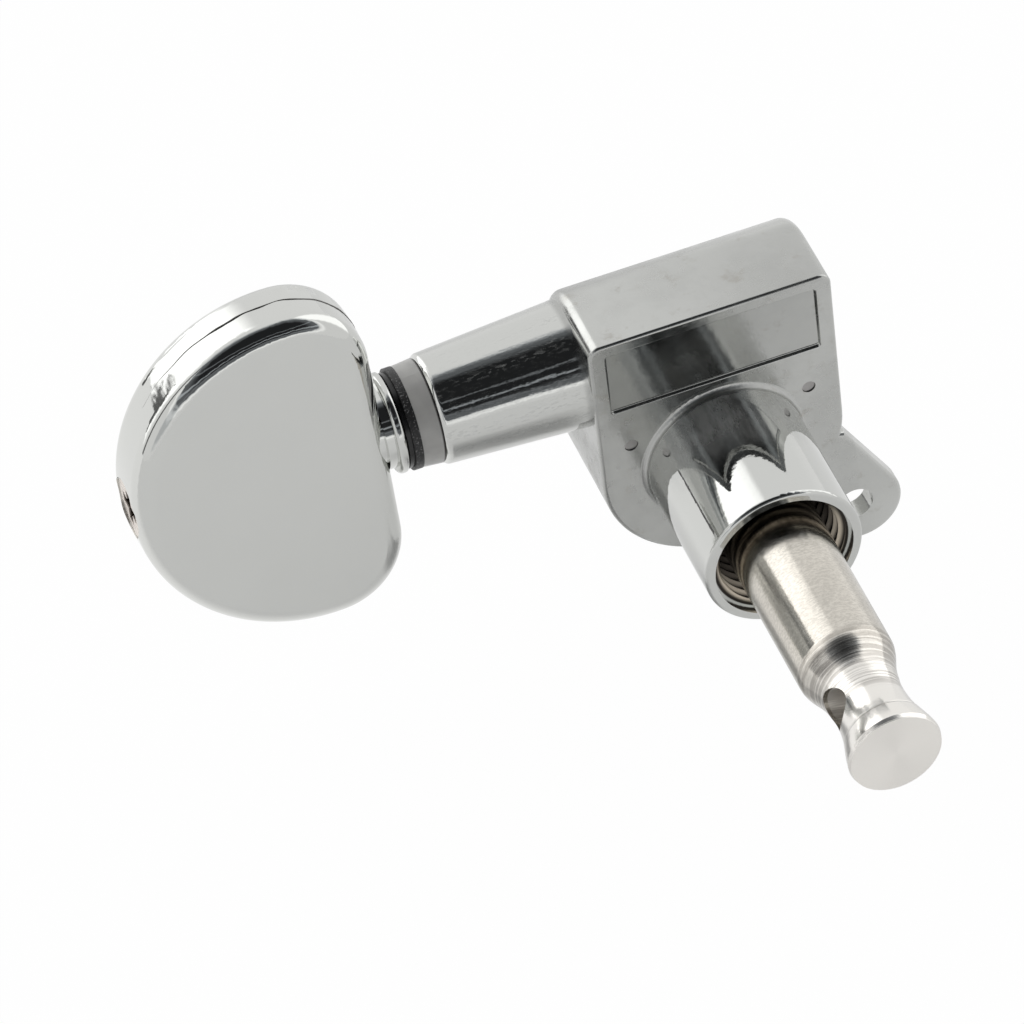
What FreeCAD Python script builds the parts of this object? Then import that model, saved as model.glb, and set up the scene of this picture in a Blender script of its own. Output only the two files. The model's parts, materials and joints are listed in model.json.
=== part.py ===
import FreeCAD, Part
import math
import os

os.makedirs("parts", exist_ok=True)

Vector = FreeCAD.Vector

# A worm-geared guitar tuning machine. All lengths are in millimetres.
# The origin is where the string post's axis meets the seat face, the face that lies
# on the headstock. The post's axis is Y, with the string end towards -Y. The worm
# shaft runs along X, with the knob at -X. +Z is the side of the housing that holds the worm.

# Fits between pieces
running_clearance = 0.04
seat_clearance = 0.02
axial_play = 0.03
cut_overrun = 1.0

# Worm gear pair
gear_module = 0.6
wheel_teeth = 16
worm_pitch_radius = 2.2
gear_backlash = 0.10
worm_thread_length = 8.2
worm_bore_clearance = 0.1
worm_end_gap = 0.5
wheel_face_width = 3.5
wheel_edge_chamfer = 0.25
wheel_dish_depth = 0.25
wheel_dish_outer_share = 0.94
wheel_dish_inner_share = 0.84
wheel_chamber_clearance = 0.25
pressure_angle = 20
tooth_root_share = 1.25
thread_sunk_share = 0.1

# Housing casting
seat_wall = 1.6
housing_side_wall = 1.05
housing_top_wall = 1.46
housing_back_round = 4.3
housing_edge_round = 0.8
seat_edge_round = 0.22

# Recessed panel in the seat face, above the sleeve
panel_side_margin = 1.05
panel_top_margin = 0.88
panel_height = 4.64
panel_depth = 0.2
panel_corner = 0.2
panel_rim_round = 0.1
panel_floor_round = 0.08

# Ear for the screw that stops the machine from turning
ear_bearing_angle = -45.5
ear_end_setback = 4.07
ear_end_radius = 2.7
ear_hole_setback = 3.6
ear_hole_radius = 1.15
ear_thickness = 1.35
ear_shoulder_height = -2.0
ear_edge_round = 0.3

# Barrel that carries the worm shaft
barrel_base_wall = 1.08
barrel_mouth_wall = 0.5
barrel_mouth_reach = 16.72
barrel_lip_round = 0.45

# Bush, seal and thrust washer of the string post
post_bush_wall = 0.66
post_bush_length = 4.2
post_washer_radius = 4.7
post_washer_thickness = 0.6

# Threaded sleeve that stands in the headstock's hole
sleeve_wall = 0.75
sleeve_length = 9.8
sleeve_lip_round = 0.25
sleeve_foot_round = 0.35
sleeve_mouth_relief = 0.15
sleeve_mouth_depth = 0.6
thread_step = 0.1
thread_height = 0.4
thread_pitch = 0.75
thread_depth = 6.3
thread_crest_share = 0.15

# String post
post_radius = 3.0
post_reach = 27.14
post_head_radius = 2.88
post_head_edge = 0.3
post_head_rim_share = 0.3
waist_length = 7.84
waist_radius = 2.19
drive_radius = 2.3
drive_flat = 1.75
string_hole_radius = 1.25
string_hole_setback = 4.24
string_hole_bearing = 165

# Screw and washer that hold the wheel on the post
gear_screw_radius = 1.0
gear_screw_head_radius = 2.1
gear_screw_head_height = 0.85
gear_screw_length = 5.0
gear_washer_radius = 2.6
gear_washer_thickness = 0.3
screw_hole_spare = 0.6
screw_head_room = 0.42

# Back cover, its gasket and its two pins
cover_thickness = 1.0
cover_ledge_width = 0.95
cover_top_ledge = 0.25
cover_corner = 1.0
cover_edge_chamfer = 0.12
gasket_thickness = 0.15
pin_radius = 0.4
pin_setback = 0.68
pin_bearing = 26.8
pin_recess = 0.08

# Worm shaft, from its inner end to the knob
shaft_seal_wire = 0.46
shaft_end_radius = 1.4
shaft_collar_clearance = 0.3
shaft_collar_width = 0.5
shaft_flat = 1.5
end_bush_length = 1.9
thrust_washer_thickness = 0.4
inner_bush_length = 3.0
barrel_bush_length = 4.0
spacer_length = 1.28
spacer_step = 0.17
spacer_taper = 0.12
friction_washer_thickness = 0.5
friction_washer_radius = 3.14
spring_washer_thickness = 0.3
spring_washer_radius = 2.95
collar_washer_thickness = 0.6
collar_washer_radius = 3.1
collar_washer_rim_share = 0.4

# Knob
knob_radius = 10.75
knob_flat_distance = 4.89
knob_corner_radius = 4.6
knob_thickness = 5.1
knob_rim_bulge = 0.12
knob_rim_width = 2.0
knob_edge_round = 1.2
knob_turn = 9
knob_neck_length = 0.4
knob_neck_radius = 2.65
knob_neck_sunk = 0.12
knob_boss_radius = 2.35
knob_spot_depth = 0.25
knob_web = 4.22
knob_screw_radius = 1.0
knob_screw_head_radius = 1.85
knob_screw_head_height = 0.85
knob_screw_head_clearance = 0.05
knob_screw_length = 8.3
recess_arm_length_share = 0.62
recess_arm_width_share = 0.2
recess_depth_share = 0.6
screw_crown_share = 0.35

# Radii of the gear pair, and the spaces that hold it
worm_pitch = math.pi * gear_module
wheel_pitch_radius = gear_module * wheel_teeth / 2
worm_height = wheel_pitch_radius + worm_pitch_radius
worm_tip_radius = worm_pitch_radius + gear_module
worm_root_radius = worm_pitch_radius - tooth_root_share * gear_module
wheel_tip_radius = wheel_pitch_radius + gear_module
wheel_root_radius = wheel_pitch_radius - tooth_root_share * gear_module
worm_helix_tangent = gear_module / (2 * worm_pitch_radius)
worm_bore_radius = worm_tip_radius + worm_bore_clearance
wheel_chamber_radius = wheel_tip_radius + wheel_chamber_clearance

# Depths, from the seat face to the back
wheel_front = seat_wall + post_washer_thickness + axial_play
wheel_back = wheel_front + wheel_face_width
worm_depth = (wheel_front + wheel_back) / 2
screw_head_top = wheel_back + gear_washer_thickness + gear_screw_head_height
cover_floor = screw_head_top + screw_head_room
housing_depth = cover_floor + cover_thickness

# Outlines of the housing, its panel, ear and cover
cover_side = wheel_chamber_radius + cover_ledge_width
cover_top = wheel_chamber_radius + cover_top_ledge
half_width = cover_side + housing_side_wall
housing_top = worm_height + worm_bore_radius + housing_top_wall
panel_half_width = half_width - panel_side_margin
panel_top = housing_top - panel_top_margin
pin_reach = wheel_chamber_radius + pin_setback
ear_end_reach = half_width + ear_end_setback
ear_hole_reach = half_width + ear_hole_setback
barrel_base_radius = worm_bore_radius + barrel_base_wall
barrel_mouth_radius = worm_bore_radius + barrel_mouth_wall

# Radii of the sleeve and what it holds
post_bush_radius = post_radius + running_clearance + post_bush_wall
post_seal_wire = (post_bush_radius - post_radius) / 2 - running_clearance
thread_minor_radius = post_bush_radius + thread_step
thread_major_radius = thread_minor_radius + thread_height
sleeve_radius = thread_major_radius + sleeve_wall
sleeve_mouth_radius = thread_major_radius + sleeve_mouth_relief
waist_start = post_reach - waist_length

# Stations along the worm shaft, all on the knob's side but the first two
thread_end = worm_thread_length / 2
bore_inner_end = thread_end + worm_end_gap + end_bush_length
mouth_face = -barrel_mouth_reach
spacer_face = mouth_face - spacer_length
friction_face = spacer_face - friction_washer_thickness
spring_face = friction_face - spring_washer_thickness
collar_start = spring_face - axial_play
collar_face = collar_start - collar_washer_thickness
knob_flat_station = collar_face - knob_neck_length
knob_centre_station = knob_flat_station - knob_flat_distance
knob_far_station = knob_centre_station - knob_radius
spot_face = knob_far_station + knob_spot_depth
shaft_knob_end = spot_face + knob_web

# Radii along the worm shaft
shaft_collar_radius = worm_bore_radius - shaft_collar_clearance
shaft_radius = worm_bore_radius - 2 * (shaft_seal_wire + running_clearance)
spacer_root_radius = barrel_mouth_radius - spacer_step
spacer_tip_radius = spacer_root_radius - spacer_taper
knob_spot_radius = knob_screw_head_radius + knob_screw_head_clearance

origin = Vector(0, 0, 0)
along_x = Vector(1, 0, 0)
along_y = Vector(0, 1, 0)
along_z = Vector(0, 0, 1)
worm_centre = Vector(0, worm_depth, worm_height)


def post_rod(radius, start, end):
    """A cylinder on the string post's axis, from depth start to depth end."""
    return Part.makeCylinder(radius, end - start, Vector(0, start, 0), along_y)


def shaft_rod(radius, start, end):
    """A cylinder on the worm shaft's axis, from station start to station end."""
    base = worm_centre + Vector(start, 0, 0)
    return Part.makeCylinder(radius, end - start, base, along_x)


def post_ring(outer, inner, start, end):
    """A flat ring round the string post."""
    hole = post_rod(inner, start - cut_overrun, end + cut_overrun)
    return post_rod(outer, start, end).cut(hole)


def shaft_ring(outer, inner, start, end):
    """A flat ring round the worm shaft."""
    hole = shaft_rod(inner, start - cut_overrun, end + cut_overrun)
    return shaft_rod(outer, start, end).cut(hole)


def edges_at_depth(shape, depth):
    """The edges of a shape that lie wholly at one depth."""
    def lies_there(edge):
        box = edge.BoundBox
        return max(abs(box.YMin - depth), abs(box.YMax - depth)) < seat_clearance
    return [edge for edge in shape.Edges if lies_there(edge)]


def helical_rib(base_radius, tip_radius, pitch, length, base_width, tip_width):
    """A right-hand rib wound round Z, from the origin up, with a tapered section."""
    spine = Part.Wire(Part.makeHelix(pitch, length, base_radius))
    section = Part.makePolygon([
        Vector(base_radius, 0, -base_width / 2),
        Vector(tip_radius, 0, -tip_width / 2),
        Vector(tip_radius, 0, tip_width / 2),
        Vector(base_radius, 0, base_width / 2),
        Vector(base_radius, 0, -base_width / 2),
    ])
    return spine.makePipeShell([section], True, True)


def involute(angle):
    return math.tan(angle) - angle


def wheel_gap_half_angle(radius):
    """Half of the angle between two teeth of the wheel, at a radius."""
    flank = math.radians(pressure_angle)
    base_radius = wheel_pitch_radius * math.cos(flank)
    here = math.acos(min(base_radius / radius, 1))
    tooth = worm_pitch / 2 - gear_backlash
    tooth_half_angle = tooth / (2 * wheel_pitch_radius) + involute(flank) - involute(here)
    return math.pi / wheel_teeth - tooth_half_angle


def wheel_gap_section(depth):
    """One gap between teeth, centred over the post, turned as the worm's lead asks."""
    outside = wheel_tip_radius + gear_module
    radii = [wheel_root_radius, wheel_pitch_radius, wheel_tip_radius]
    twist = worm_helix_tangent * (depth - worm_depth) / wheel_pitch_radius
    half_angles = [wheel_gap_half_angle(radius) for radius in radii]
    radii.append(outside)
    half_angles.append(half_angles[-1])
    outline = [(radius, -half) for radius, half in zip(radii, half_angles)]
    outline += [(radius, half) for radius, half in zip(radii[::-1], half_angles[::-1])]
    points = [
        Vector(radius * math.sin(twist + angle), depth, radius * math.cos(twist + angle))
        for radius, angle in outline
    ]
    return Part.makePolygon(points + [points[0]])


def drive_bar(radius, flat, start, end):
    """A round bar on the post's axis with two flats, for the wheel's drive."""
    bar = post_rod(radius, start, end)
    slab = Part.makeBox(2 * radius, end - start, 2 * flat, Vector(-radius, start, -flat))
    return bar.common(slab)


def flatted_shaft(radius, flat, start, end):
    """A round bar on the shaft's axis with one flat, for the knob's drive."""
    bar = shaft_rod(radius, start, end)
    corner = worm_centre + Vector(start, -radius, -radius)
    slab = Part.makeBox(end - start, 2 * radius, radius + flat, corner)
    return bar.common(slab)


def cross_recess(head_radius, head_height, mouth_centre, axis):
    """The cross-shaped driver recess that is cut into a screw's head."""
    arm = 2 * head_radius * recess_arm_length_share
    width = 2 * head_radius * recess_arm_width_share
    depth = head_height * recess_depth_share
    flat_arm = Part.makeBox(arm, width, depth, Vector(-arm / 2, -width / 2, -depth))
    high_arm = Part.makeBox(width, arm, depth, Vector(-width / 2, -arm / 2, -depth))
    recess = flat_arm.fuse(high_arm)
    recess.Placement = FreeCAD.Placement(mouth_centre, FreeCAD.Rotation(along_z, axis))
    return recess


def pan_screw(shank_radius, length, head_radius, head_height, seat, axis):
    """A pan-head screw whose head stands on seat and points along axis."""
    head = Part.makeCylinder(head_radius, head_height, seat, axis)
    crown = [edge for edge in head.Edges
             if edge.BoundBox.Center.sub(seat).dot(axis) > head_height - seat_clearance]
    head = head.makeFillet(head_height * screw_crown_share, crown)
    shank = Part.makeCylinder(shank_radius, length, seat, axis * -1)
    top = seat + axis * head_height
    return head.fuse(shank).cut(cross_recess(head_radius, head_height, top, axis))


def flat_screw(shank_radius, length, head_radius, head_height, top, axis):
    """A countersunk screw whose flat head ends at top and faces along axis."""
    head = Part.makeCone(head_radius, shank_radius, head_height, top, axis * -1)
    shank = Part.makeCylinder(shank_radius, length, top, axis * -1)
    return head.fuse(shank).cut(cross_recess(head_radius, head_height, top, axis))


def cover_outline(grow):
    """The D-shaped outline of the cover at the back, grown or shrunk evenly."""
    side = cover_side + grow
    top = cover_top + grow
    corner = cover_corner + grow
    slant = corner * (1 - math.sqrt(2) / 2)
    edges = [
        Part.Arc(Vector(-side, 0, 0), Vector(0, 0, -side), Vector(side, 0, 0)).toShape(),
        Part.LineSegment(Vector(side, 0, 0), Vector(side, 0, top - corner)).toShape(),
        Part.Arc(
            Vector(side, 0, top - corner),
            Vector(side - slant, 0, top - slant),
            Vector(side - corner, 0, top),
        ).toShape(),
        Part.LineSegment(Vector(side - corner, 0, top), Vector(corner - side, 0, top)).toShape(),
        Part.Arc(
            Vector(corner - side, 0, top),
            Vector(slant - side, 0, top - slant),
            Vector(-side, 0, top - corner),
        ).toShape(),
        Part.LineSegment(Vector(-side, 0, top - corner), Vector(-side, 0, 0)).toShape(),
    ]
    return Part.Face(Part.Wire(edges))


def cover_plate(grow, start, end):
    plate = cover_outline(grow)
    plate.translate(Vector(0, start, 0))
    return plate.extrude(Vector(0, end - start, 0))


def pin_holes(radius, start, end):
    """Two rods where the cover's pins go, one each side of the post."""
    rods = []
    for bearing in (math.radians(pin_bearing), math.radians(180 - pin_bearing)):
        foot = Vector(pin_reach * math.cos(bearing), start, pin_reach * math.sin(bearing))
        rods.append(Part.makeCylinder(radius, end - start, foot, along_y))
    return Part.makeCompound(rods)


def housing_block():
    """The boxy part of the casting: flat top, round bottom, rounded back."""
    outline = Part.Wire([
        Part.LineSegment(
            Vector(-half_width, 0, 0), Vector(-half_width, 0, housing_top)).toShape(),
        Part.LineSegment(
            Vector(-half_width, 0, housing_top), Vector(half_width, 0, housing_top)).toShape(),
        Part.LineSegment(Vector(half_width, 0, housing_top), Vector(half_width, 0, 0)).toShape(),
        Part.Arc(
            Vector(half_width, 0, 0),
            Vector(0, 0, -half_width),
            Vector(-half_width, 0, 0),
        ).toShape(),
    ])
    block = Part.Face(outline).extrude(Vector(0, housing_depth, 0))
    top_back = [edge for edge in block.Edges
                if edge.BoundBox.YMin > housing_depth - seat_clearance
                and edge.BoundBox.ZMin > housing_top - seat_clearance]
    block = block.makeFillet(housing_back_round, top_back)
    rims = [edge for edge in block.Edges if on_side_rim(edge) or on_bottom_rim(edge)]
    block = block.makeFillet(housing_edge_round, rims)
    return block.makeFillet(seat_edge_round, edges_at_depth(block, 0))


def on_side_rim(edge):
    """Whether an edge of the block goes round a side face, but not along the seat."""
    box = edge.BoundBox
    lies_in_a_side = box.XMax - box.XMin < seat_clearance
    return lies_in_a_side and box.YMax > seat_clearance and box.ZMax > seat_clearance


def on_bottom_rim(edge):
    """Whether an edge of the block is the round bottom's edge at the back."""
    box = edge.BoundBox
    return box.YMin > housing_depth - seat_clearance and box.ZMax < seat_clearance


def ear():
    """The flat ear: a round end joined to the housing by straight flanks."""
    bearing = math.radians(ear_bearing_angle)
    centre = Vector(ear_end_reach * math.cos(bearing), 0, ear_end_reach * math.sin(bearing))
    shoulder = Vector(half_width, 0, ear_shoulder_height)
    sight = shoulder.sub(centre)
    swing = math.acos(ear_end_radius / sight.Length)
    upper = math.atan2(sight.z, sight.x) - swing
    lower = bearing - math.acos((half_width - ear_end_radius) / ear_end_reach)

    def on_end(angle):
        return centre + Vector(math.cos(angle), 0, math.sin(angle)) * ear_end_radius

    upper_point = on_end(upper)
    lower_point = on_end(lower)
    foot = Vector(half_width * math.cos(lower), 0, half_width * math.sin(lower))
    edges = [
        Part.LineSegment(origin, shoulder).toShape(),
        Part.LineSegment(shoulder, upper_point).toShape(),
        Part.Arc(upper_point, on_end((upper + lower) / 2), lower_point).toShape(),
        Part.LineSegment(lower_point, foot).toShape(),
        Part.LineSegment(foot, origin).toShape(),
    ]
    plate = Part.Face(Part.Wire(edges)).extrude(Vector(0, ear_thickness, 0))
    flanks = edges_at_depth(plate, 0) + edges_at_depth(plate, ear_thickness)
    return plate.makeFillet(ear_edge_round, flanks)


def barrel():
    """The tapered barrel, turned round the shaft's axis, with a rounded lip."""
    length = barrel_mouth_reach - half_width + housing_edge_round
    cone = Part.makeCone(
        barrel_mouth_radius, barrel_base_radius, length,
        worm_centre + Vector(mouth_face, 0, 0), along_x)
    mouth = [edge for edge in cone.Edges
             if edge.BoundBox.XMax < mouth_face + seat_clearance]
    return cone.makeFillet(barrel_lip_round, mouth)


def sleeve_shell():
    """The plain outside of the sleeve, with a rounded lip and a rounded foot."""
    lip = sleeve_lip_round
    foot = sleeve_foot_round
    slant = 1 - math.sqrt(2) / 2
    inner_lip = sleeve_radius - lip
    edges = [
        Part.LineSegment(Vector(0, -sleeve_length, 0), Vector(inner_lip, -sleeve_length, 0)),
        Part.Arc(
            Vector(inner_lip, -sleeve_length, 0),
            Vector(sleeve_radius - lip * slant, lip * slant - sleeve_length, 0),
            Vector(sleeve_radius, lip - sleeve_length, 0)),
        Part.LineSegment(Vector(sleeve_radius, lip - sleeve_length, 0),
                         Vector(sleeve_radius, -foot, 0)),
        Part.Arc(
            Vector(sleeve_radius, -foot, 0),
            Vector(sleeve_radius + foot * slant, -foot * slant, 0),
            Vector(sleeve_radius + foot, 0, 0)),
        Part.LineSegment(Vector(sleeve_radius + foot, 0, 0),
                         Vector(sleeve_radius + foot, seat_wall / 2, 0)),
        Part.LineSegment(Vector(sleeve_radius + foot, seat_wall / 2, 0),
                         Vector(0, seat_wall / 2, 0)),
        Part.LineSegment(Vector(0, seat_wall / 2, 0), Vector(0, -sleeve_length, 0)),
    ]
    section = Part.Face(Part.Wire([edge.toShape() for edge in edges]))
    return section.revolve(origin, along_y, 360)


def sleeve_thread():
    """The cutter for the thread inside the sleeve, wound inwards from the mouth."""
    height = thread_major_radius - thread_minor_radius
    base_radius = thread_minor_radius - height / 2
    base_width = thread_pitch * (1 - thread_crest_share)
    tip_width = thread_pitch * thread_crest_share
    base_width += (base_width - tip_width) / 2
    rib = helical_rib(
        base_radius, thread_major_radius, thread_pitch, thread_depth, base_width, tip_width)
    rib.rotate(origin, along_x, -90)
    rib.translate(Vector(0, -sleeve_length, 0))
    return rib


def recessed_panel(block):
    """The block with a shallow panel let into its seat face, its edges eased."""
    foot = panel_top - panel_height
    panel = Part.makeBox(
        2 * panel_half_width, panel_depth + cut_overrun, panel_height,
        Vector(-panel_half_width, -cut_overrun, foot))
    upright = [edge for edge in panel.Edges
               if edge.BoundBox.YMax - edge.BoundBox.YMin > panel_depth]
    block = block.cut(panel.makeFillet(panel_corner, upright))
    floor = [edge for edge in block.Edges if within_panel(edge)
             and edge.BoundBox.YMin > panel_depth - seat_clearance]
    block = block.makeFillet(panel_floor_round, floor)
    rim = [edge for edge in edges_at_depth(block, 0) if within_panel(edge)]
    return block.makeFillet(panel_rim_round, rim)


def within_panel(edge):
    """Whether an edge lies within the panel's outline, seen from the front."""
    box = edge.BoundBox
    return (max(-box.XMin, box.XMax) < panel_half_width + seat_clearance
            and box.ZMin > panel_top - panel_height - seat_clearance
            and box.ZMax < panel_top + seat_clearance
            and box.YMax < panel_depth + seat_clearance)


def housing():
    block = recessed_panel(housing_block()).fuse([ear(), barrel(), sleeve_shell()])
    bearing = math.radians(ear_bearing_angle)
    ear_hole = Part.makeCylinder(
        ear_hole_radius, ear_thickness + 2 * cut_overrun,
        Vector(ear_hole_reach * math.cos(bearing), -cut_overrun,
               ear_hole_reach * math.sin(bearing)),
        along_y)
    bush_end = seat_wall - post_bush_length
    cuts = [
        ear_hole,
        post_rod(wheel_chamber_radius, seat_wall, cover_floor),
        cover_plate(0, cover_floor - gasket_thickness, housing_depth + cut_overrun),
        shaft_rod(worm_bore_radius, mouth_face - cut_overrun, bore_inner_end),
        post_rod(post_bush_radius, bush_end - cut_overrun, seat_wall + cut_overrun),
        post_rod(thread_minor_radius, -sleeve_length - cut_overrun, bush_end),
        post_rod(sleeve_mouth_radius, -sleeve_length - cut_overrun,
                 sleeve_mouth_depth - sleeve_length),
        pin_holes(pin_radius + seat_clearance, -cut_overrun, housing_depth),
    ]
    casting = block.cut(cuts)
    return casting.cut(sleeve_thread())


def back_cover():
    plate = cover_plate(-seat_clearance, cover_floor, housing_depth)
    plate = plate.makeChamfer(cover_edge_chamfer, edges_at_depth(plate, housing_depth))
    holes = pin_holes(pin_radius + seat_clearance, cover_floor - cut_overrun,
                      housing_depth + cut_overrun)
    return plate.cut(holes)


def cover_gasket():
    sheet = cover_plate(-seat_clearance, cover_floor - gasket_thickness, cover_floor)
    window = post_rod(wheel_chamber_radius, seat_wall, housing_depth)
    holes = pin_holes(pin_radius + seat_clearance, seat_wall, housing_depth)
    worm_window = shaft_rod(worm_bore_radius, -half_width, half_width)
    return sheet.cut([window, holes, worm_window])


def cover_pins():
    return pin_holes(pin_radius, pin_recess, housing_depth)


def post_bush():
    return post_ring(post_bush_radius - seat_clearance, post_radius + running_clearance,
                     seat_wall - post_bush_length, seat_wall)


def post_seal():
    """A rubber ring round the post, on the outer end of its bush."""
    depth = seat_wall - post_bush_length - post_seal_wire
    return Part.makeTorus(post_radius + running_clearance + post_seal_wire, post_seal_wire,
                          Vector(0, depth, 0), along_y)


def post_thrust_washer():
    return post_ring(post_washer_radius, post_radius + running_clearance,
                     seat_wall, seat_wall + post_washer_thickness)


def post_outline():
    """The string post's outline: shank, waist that grips the string, and flared head."""
    narrowing = post_radius - waist_radius
    waist_shares = [
        (0, 1), (0.065, 0.92), (0.165, 0.57), (0.27, 0.25), (0.37, 0.1), (0.47, 0),
        (0.575, 0.04), (0.68, 0.17), (0.78, 0.42), (0.88, 0.69), (0.95, 0.83),
    ]
    points = [
        Vector(waist_radius + narrowing * radius_share,
               -waist_start - waist_length * reach_share, 0)
        for reach_share, radius_share in waist_shares
    ]
    waist = Part.BSplineCurve()
    waist.interpolate(points)
    return points, waist


def string_post():
    points, waist = post_outline()
    rim = Vector(post_head_radius - post_head_edge * post_head_rim_share, -post_reach, 0)
    widest = Vector(post_head_radius, post_head_edge - post_reach, 0)
    edges = [
        Part.LineSegment(Vector(0, wheel_front, 0), Vector(post_radius, wheel_front, 0)),
        Part.LineSegment(Vector(post_radius, wheel_front, 0), points[0]),
        waist,
        Part.LineSegment(points[-1], widest),
        Part.LineSegment(widest, rim),
        Part.LineSegment(rim, Vector(0, -post_reach, 0)),
        Part.LineSegment(Vector(0, -post_reach, 0), Vector(0, wheel_front, 0)),
    ]
    section = Part.Face(Part.Wire([edge.toShape() for edge in edges]))
    post = section.revolve(origin, along_y, 360)
    tip = wheel_back - axial_play
    post = post.fuse(drive_bar(drive_radius, drive_flat, wheel_front - cut_overrun, tip))
    bearing = math.radians(string_hole_bearing)
    across = Vector(math.cos(bearing), 0, math.sin(bearing))
    string_hole = Part.makeCylinder(
        string_hole_radius, 4 * post_radius,
        Vector(0, string_hole_setback - post_reach, 0) + across * (-2 * post_radius), across)
    hole_end = wheel_back - gear_screw_length - screw_hole_spare
    tapped_hole = post_rod(gear_screw_radius + seat_clearance, hole_end, tip + cut_overrun)
    return post.cut([string_hole, tapped_hole])


def worm_wheel():
    """The helical wheel, with a gap between teeth centred over the post at rest."""
    blank = post_rod(wheel_tip_radius, wheel_front, wheel_back)
    rims = edges_at_depth(blank, wheel_front) + edges_at_depth(blank, wheel_back)
    blank = blank.makeChamfer(wheel_edge_chamfer, rims)
    gap = Part.makeLoft(
        [wheel_gap_section(wheel_front - cut_overrun),
         wheel_gap_section(wheel_back + cut_overrun)], True, True)
    gaps = []
    for tooth in range(wheel_teeth):
        copy = gap.copy()
        copy.rotate(origin, along_y, 360 * tooth / wheel_teeth)
        gaps.append(copy)
    bore = drive_bar(drive_radius + seat_clearance, drive_flat + seat_clearance,
                     wheel_front - cut_overrun, wheel_back + cut_overrun)
    dish = post_ring(
        wheel_root_radius * wheel_dish_outer_share, wheel_root_radius * wheel_dish_inner_share,
        wheel_back - wheel_dish_depth, wheel_back + cut_overrun)
    return blank.cut(gaps + [bore, dish])


def gear_washer():
    return post_ring(gear_washer_radius, gear_screw_radius + running_clearance,
                     wheel_back, wheel_back + gear_washer_thickness)


def gear_screw():
    seat = Vector(0, wheel_back + gear_washer_thickness, 0)
    return pan_screw(gear_screw_radius, gear_screw_length, gear_screw_head_radius,
                     gear_screw_head_height, seat, along_y)


def worm_shaft():
    """The shaft with its worm, thrust collar, end journal and flatted knob end."""
    collar_end = -thread_end
    collar_left = collar_end - shaft_collar_width
    core = shaft_rod(worm_root_radius, collar_end - shaft_collar_width / 2, thread_end)
    journal = shaft_rod(shaft_end_radius, thread_end - shaft_collar_width / 2,
                        bore_inner_end - axial_play)
    collar = shaft_rod(shaft_collar_radius, collar_left, collar_end)
    stem = shaft_rod(shaft_radius, collar_face, collar_left)
    drive = flatted_shaft(shaft_radius, shaft_flat, shaft_knob_end, collar_face)
    flank = math.tan(math.radians(pressure_angle))
    pitch_width = worm_pitch / 2 - gear_backlash
    tip_width = pitch_width - 2 * gear_module * flank
    base_radius = worm_root_radius * (1 - thread_sunk_share)
    base_width = pitch_width + 2 * (worm_pitch_radius - base_radius) * flank
    turns = math.ceil(worm_thread_length / worm_pitch) + 1
    rib = helical_rib(base_radius, worm_tip_radius, worm_pitch, turns * worm_pitch,
                      base_width, tip_width)
    rib.rotate(origin, Vector(1, 1, 1), 120)
    half_turns = math.floor(turns / 2)
    rib.translate(worm_centre + Vector(worm_pitch * (1 / 4 - half_turns), 0, 0))
    rib = rib.common(shaft_rod(worm_tip_radius + gear_module, -thread_end, thread_end))
    shaft = core.fuse([journal, collar, stem, drive]).fuse(rib)
    screw_end = spot_face + knob_screw_length + screw_hole_spare
    tapped_hole = shaft_rod(knob_screw_radius + seat_clearance,
                            shaft_knob_end - cut_overrun, screw_end)
    return shaft.cut(tapped_hole)


def end_bush():
    """The bush in the bore's closed end, round the shaft's journal."""
    return shaft_ring(worm_bore_radius - seat_clearance, shaft_end_radius + running_clearance,
                      bore_inner_end - end_bush_length, bore_inner_end)


def worm_thrust_washer():
    right = -thread_end - shaft_collar_width - axial_play
    return shaft_ring(worm_bore_radius - running_clearance, shaft_radius + running_clearance,
                      right - thrust_washer_thickness, right)


def inner_bush():
    right = -thread_end - shaft_collar_width - axial_play - thrust_washer_thickness
    return shaft_ring(worm_bore_radius - seat_clearance, shaft_radius + running_clearance,
                      right - inner_bush_length, right)


def shaft_seal():
    """A rubber ring round the shaft, inside the barrel, on the end of the outer bush."""
    station = mouth_face + barrel_bush_length + shaft_seal_wire
    return Part.makeTorus(shaft_radius + running_clearance + shaft_seal_wire, shaft_seal_wire,
                          worm_centre + Vector(station, 0, 0), along_x)


def barrel_bush():
    """The pale flanged bush: a stem inside the barrel, and a tapered flange at its mouth."""
    stem = shaft_rod(worm_bore_radius - seat_clearance, mouth_face,
                     mouth_face + barrel_bush_length)
    flange = Part.makeCone(spacer_tip_radius, spacer_root_radius, spacer_length,
                           worm_centre + Vector(spacer_face, 0, 0), along_x)
    bore = shaft_rod(shaft_radius + running_clearance, spacer_face - cut_overrun,
                     mouth_face + barrel_bush_length + cut_overrun)
    return stem.fuse(flange).cut(bore)


def friction_washer():
    return shaft_ring(friction_washer_radius, shaft_radius + running_clearance,
                      friction_face, spacer_face)


def spring_washer():
    return shaft_ring(spring_washer_radius, shaft_radius + running_clearance,
                      spring_face, friction_face)


def collar_washer():
    """The bright washer behind the knob, with a fully rounded rim."""
    washer = shaft_ring(collar_washer_radius, shaft_radius + seat_clearance,
                        collar_face, collar_start)
    rims = [edge for edge in washer.Edges
            if edge.BoundBox.ZMax > worm_height + collar_washer_radius - seat_clearance
            and edge.BoundBox.YMax - edge.BoundBox.YMin > collar_washer_radius]
    return washer.makeFillet(collar_washer_thickness * collar_washer_rim_share, rims)


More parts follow.
